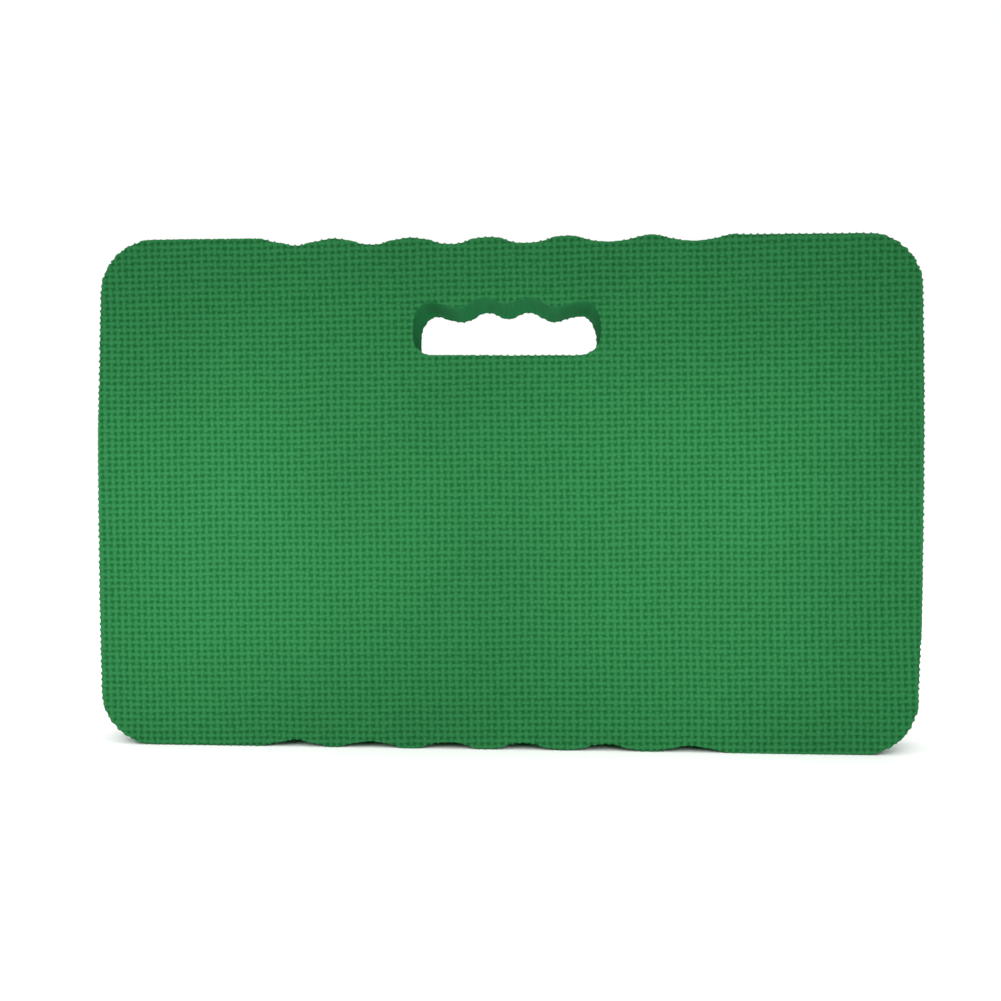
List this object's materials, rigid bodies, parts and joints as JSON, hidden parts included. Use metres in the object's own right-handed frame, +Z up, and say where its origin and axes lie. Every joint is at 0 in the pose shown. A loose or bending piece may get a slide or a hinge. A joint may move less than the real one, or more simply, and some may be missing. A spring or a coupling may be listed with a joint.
{
  "type": "kneeling pad",
  "caption": "Rectangular foam kneeling pad with waved long edges, round corners, a weave embossed on both faces and a hand slot with finger recesses.",
  "frame": {"origin": "middle of the long edge that the pad stands on, halfway through its thickness", "axes": "+X along the pad's length, +Y through its thickness towards the rear face, +Z up towards the edge with the handle slot"},
  "size_m": [0.45, 0.038, 0.2795],
  "materials": {
    "embossed_foam": "matte green closed-cell foam with a coarse weave pressed into its skin",
    "plain_foam": "matte green closed-cell foam, plain cut surface",
    "glue": "dull, translucent, dried contact adhesive"
  },
  "bodies": {
    "root": {"front_sheet": "embossed_foam", "front_glue_film": "glue", "core_sheet": "plain_foam", "rear_glue_film": "glue", "rear_sheet": "embossed_foam"}
  },
  "joints": []
}
